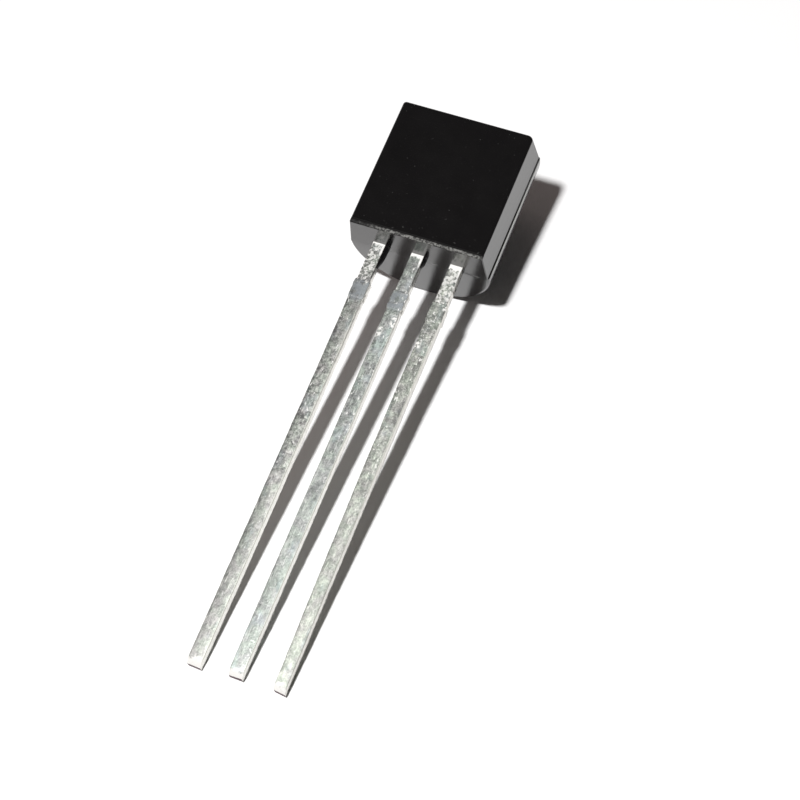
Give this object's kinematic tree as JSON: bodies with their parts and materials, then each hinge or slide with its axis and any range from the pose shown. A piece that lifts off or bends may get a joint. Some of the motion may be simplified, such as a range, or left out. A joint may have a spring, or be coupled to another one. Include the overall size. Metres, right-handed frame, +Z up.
{
  "type": "to-92 transistor",
  "caption": "Small moulded transistor with a flat face, a round back and a row of long straight tinned leads, for through-hole soldering.",
  "frame": {"origin": "middle of the footprint, on the surface that the transistor lies on", "axes": "+Z up, +Y from the lead tips to the body, +X across the leads; it lies on the rim of its round back and its lead tips with the flat face up"},
  "size_m": [0.0046, 0.0188, 0.0041],
  "materials": {
    "black_epoxy": "black filled epoxy, fine moulded grain, satin",
    "tinned_lead": "matt tin plating, mottled, with small scratches and bright specks",
    "solder": "dull solder",
    "silicon": "polished, bluish grey",
    "bond_wire": "bright drawn wire"
  },
  "bodies": {
    "root": {"moulded_body": "black_epoxy", "emitter_lead": "tinned_lead", "collector_lead": "tinned_lead", "base_lead": "tinned_lead", "die_attach": "solder", "die": "silicon", "emitter_bond_wire": "bond_wire", "base_bond_wire": "bond_wire"}
  },
  "joints": []
}
